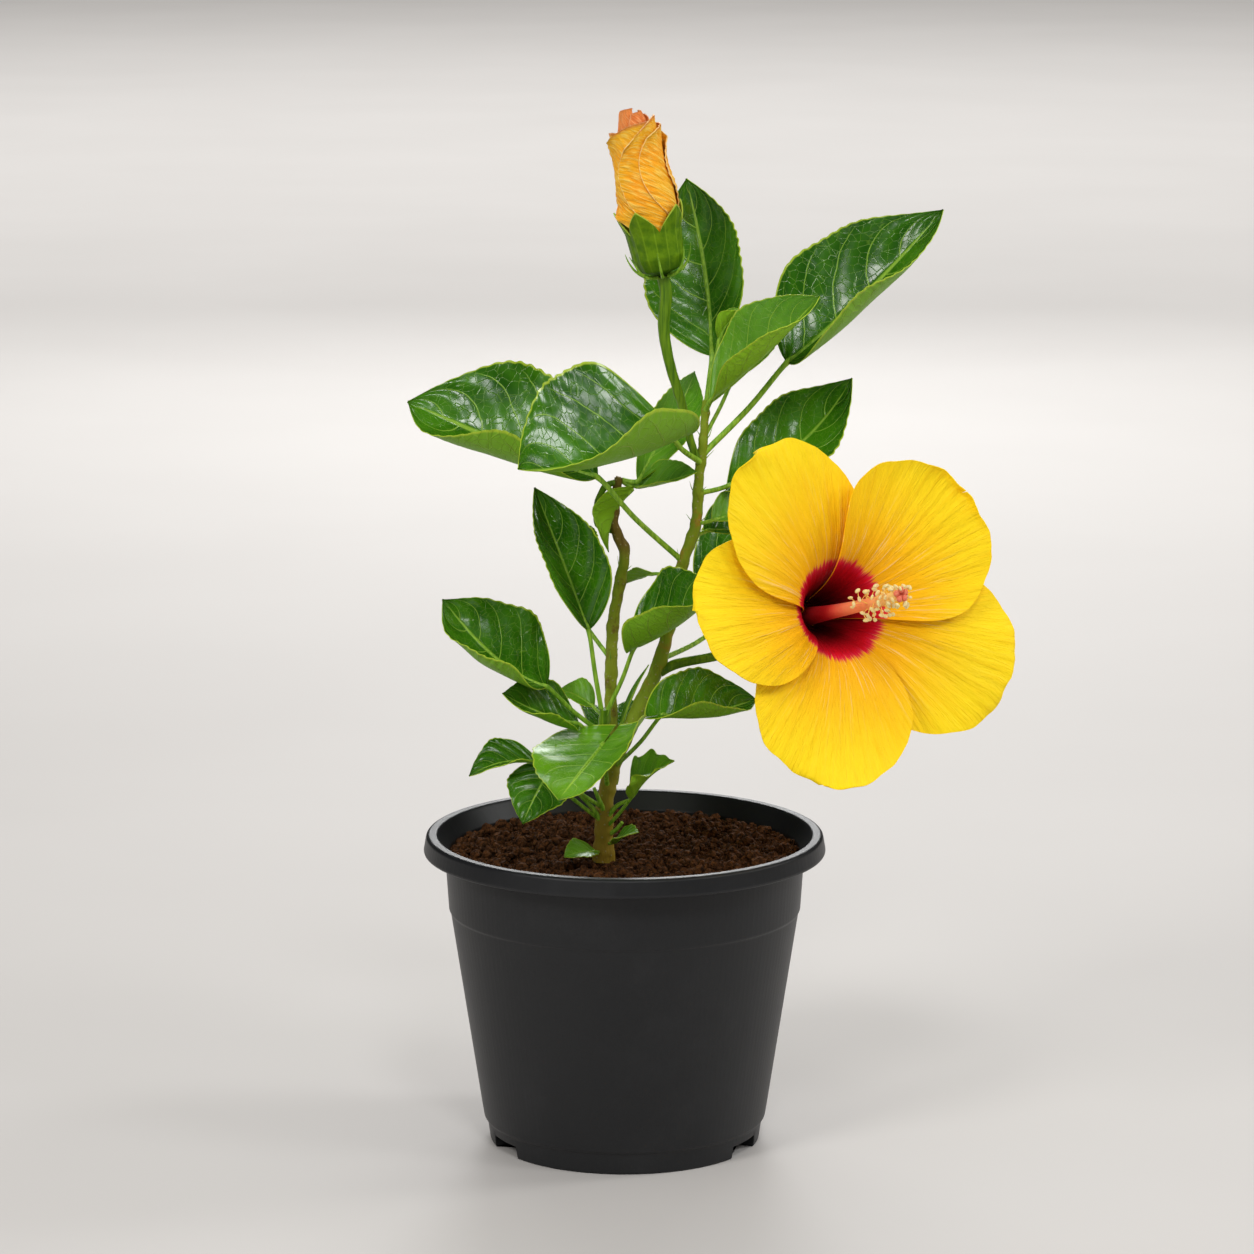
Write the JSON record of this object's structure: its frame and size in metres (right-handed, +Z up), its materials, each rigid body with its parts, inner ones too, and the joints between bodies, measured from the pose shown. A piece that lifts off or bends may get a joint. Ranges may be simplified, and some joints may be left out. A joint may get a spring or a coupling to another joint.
{
  "type": "potted hibiscus shrub",
  "caption": "Potted hibiscus shrub: slender forked stems with glossy toothed leaves, an open yellow flower with a dark red eye and a long column, and a bud, in a black plastic pot.",
  "frame": {"origin": "middle of the pot's flat underside", "axes": "+Z up, +X to the right seen from the flower's side, -Y towards the front, the side the flower faces"},
  "size_m": [0.2555, 0.1867, 0.4465],
  "materials": {
    "pot": "satin",
    "soil": "matte",
    "bark": "matte",
    "green_shoot": "satin",
    "leaf": "satin",
    "pale_leaf": "satin",
    "petal": "matte",
    "bud": "matte",
    "column": "matte"
  },
  "bodies": {
    "root": {"pot": "pot", "soil": "soil", "trunk": "bark", "right_stem": "bark", "old_left_stem": "bark", "short_shoot": "green_shoot", "flower_branch": "green_shoot", "bud_stalk": "green_shoot", "side_shoot": "pale_leaf", "flower_calyx": "green_shoot", "bud_calyx": "green_shoot", "bud_petals": "bud", "flower_column": "column", "flower_petal_1": "petal", "flower_petal_2": "petal", "flower_petal_3": "petal", "flower_petal_4": "petal", "flower_petal_5": "petal", "leaf_far_left": "leaf", "leaf_front_left": "leaf", "leaf_tall_back": "leaf", "leaf_top_right": "leaf", "leaf_young_top": "leaf", "leaf_under_top": "leaf", "leaf_curl_top": "leaf", "leaf_right_back": "leaf", "leaf_upright": "leaf", "leaf_mid_left": "leaf", "leaf_low_left": "leaf", "leaf_small_pale": "leaf", "leaf_mid_front": "leaf", "leaf_heart": "leaf", "leaf_base_left": "leaf", "leaf_dark_hang": "leaf", "leaf_toothed": "leaf", "leaf_soil_left": "leaf", "leaf_soil_right": "leaf", "leaf_right_mid": "leaf", "leaf_slender": "leaf", "leaf_behind_mid": "leaf", "leaf_gap_high": "leaf", "leaf_gap_low": "leaf", "leaf_back_high": "leaf", "leaf_back_right": "leaf", "leaf_back_left": "leaf", "leaf_back_low": "leaf"}
  },
  "joints": []
}
